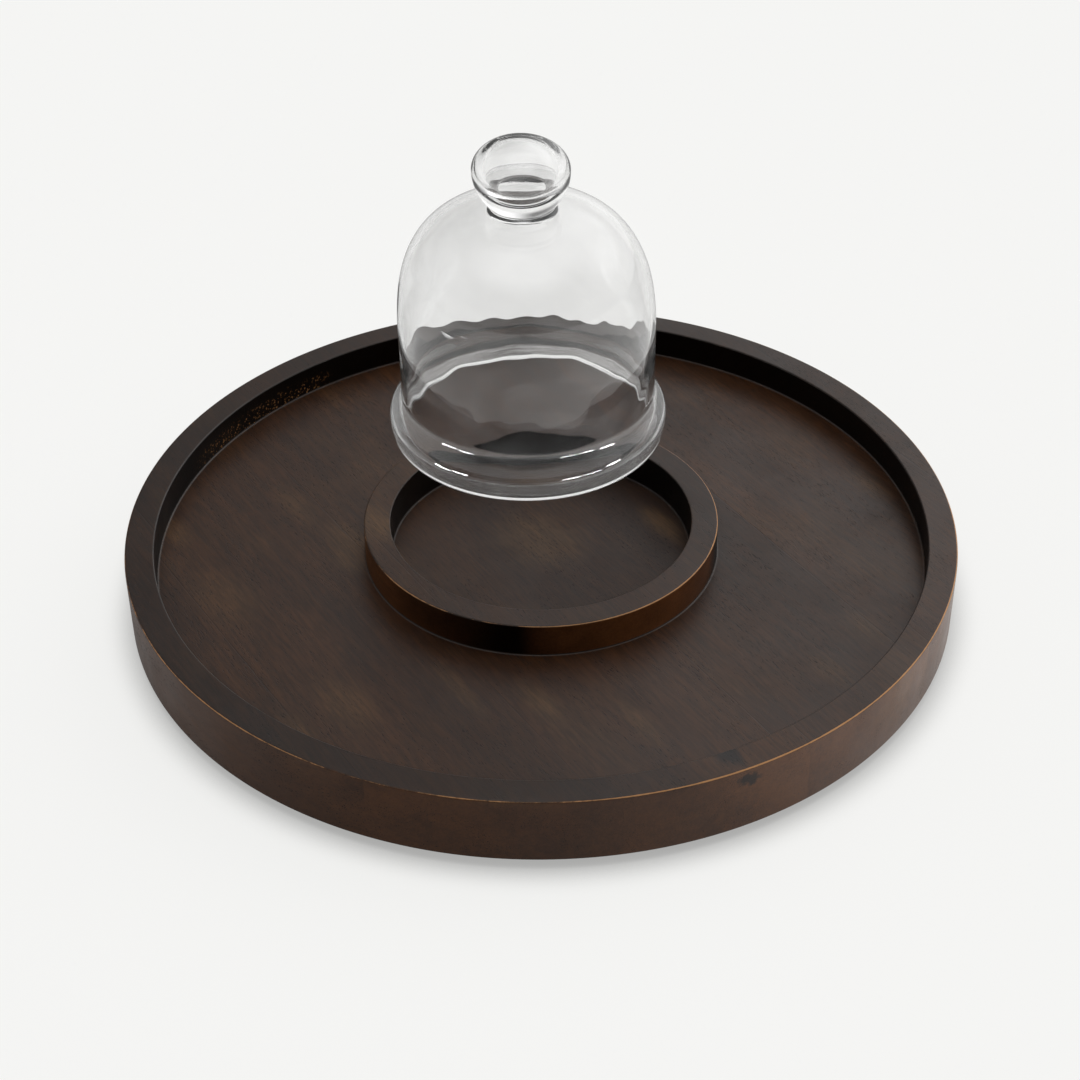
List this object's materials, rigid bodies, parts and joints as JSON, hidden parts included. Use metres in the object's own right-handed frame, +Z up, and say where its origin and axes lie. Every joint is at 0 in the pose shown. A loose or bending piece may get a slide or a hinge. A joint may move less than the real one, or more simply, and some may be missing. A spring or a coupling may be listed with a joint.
{
  "type": "cheese dome",
  "caption": "Round dark wooden turning tray with a raised rim, a centre ring and recess, and a clear glass bell with a ball knob that lifts off.",
  "frame": {"origin": "on the table at the middle of the feet, below the middle of the tray", "axes": "+Z up along the tray's turning axis; +Y away from the viewer, +X to the viewer's right"},
  "size_m": [0.4, 0.4, 0.2388],
  "materials": {
    "dark_wood": "dark espresso stain, satin lacquer, lighter worn edges",
    "clear_glass": "clear hand-blown, glossy",
    "bearing_aluminium": "turned, satin",
    "steel": "bright zinc plated",
    "nylon": "natural moulded nylon",
    "foot_rubber": "moulded, matt"
  },
  "bodies": {
    "stand": {"bearing_inner_ring": "bearing_aluminium", "clamp_ring": "bearing_aluminium", "ring_rivets": "steel", "rubber_foot_1": "foot_rubber", "rubber_foot_2": "foot_rubber", "rubber_foot_3": "foot_rubber", "rubber_foot_4": "foot_rubber", "rubber_foot_5": "foot_rubber", "rubber_foot_6": "foot_rubber"},
    "turning_tray": {"tray": "dark_wood", "bearing_outer_ring": "bearing_aluminium", "tray_screws": "steel"},
    "ball_set": {"ball_cage": "nylon", "bearing_balls": "steel"},
    "bell": {"glass_bell": "clear_glass", "glass_knob": "clear_glass"}
  },
  "joints": [
    {"name": "tray_spin", "type": "hinge", "parent": "stand", "child": "turning_tray", "pos_m": [0, 0, 0.0065], "axis": [0, 0, 1], "continuous": true},
    {"name": "ball_set_spin", "type": "hinge", "parent": "stand", "child": "ball_set", "pos_m": [0, 0, 0.0065], "axis": [0, 0, 1], "continuous": true},
    {"name": "bell_lift", "type": "slide", "parent": "turning_tray", "child": "bell", "axis": [0, 0, 1], "range_m": [-0.0714, 0.06]}
  ],
  "couplings": [
    {"joint": "ball_set_spin", "follows": "tray_spin", "ratio": 0.5}
  ]
}
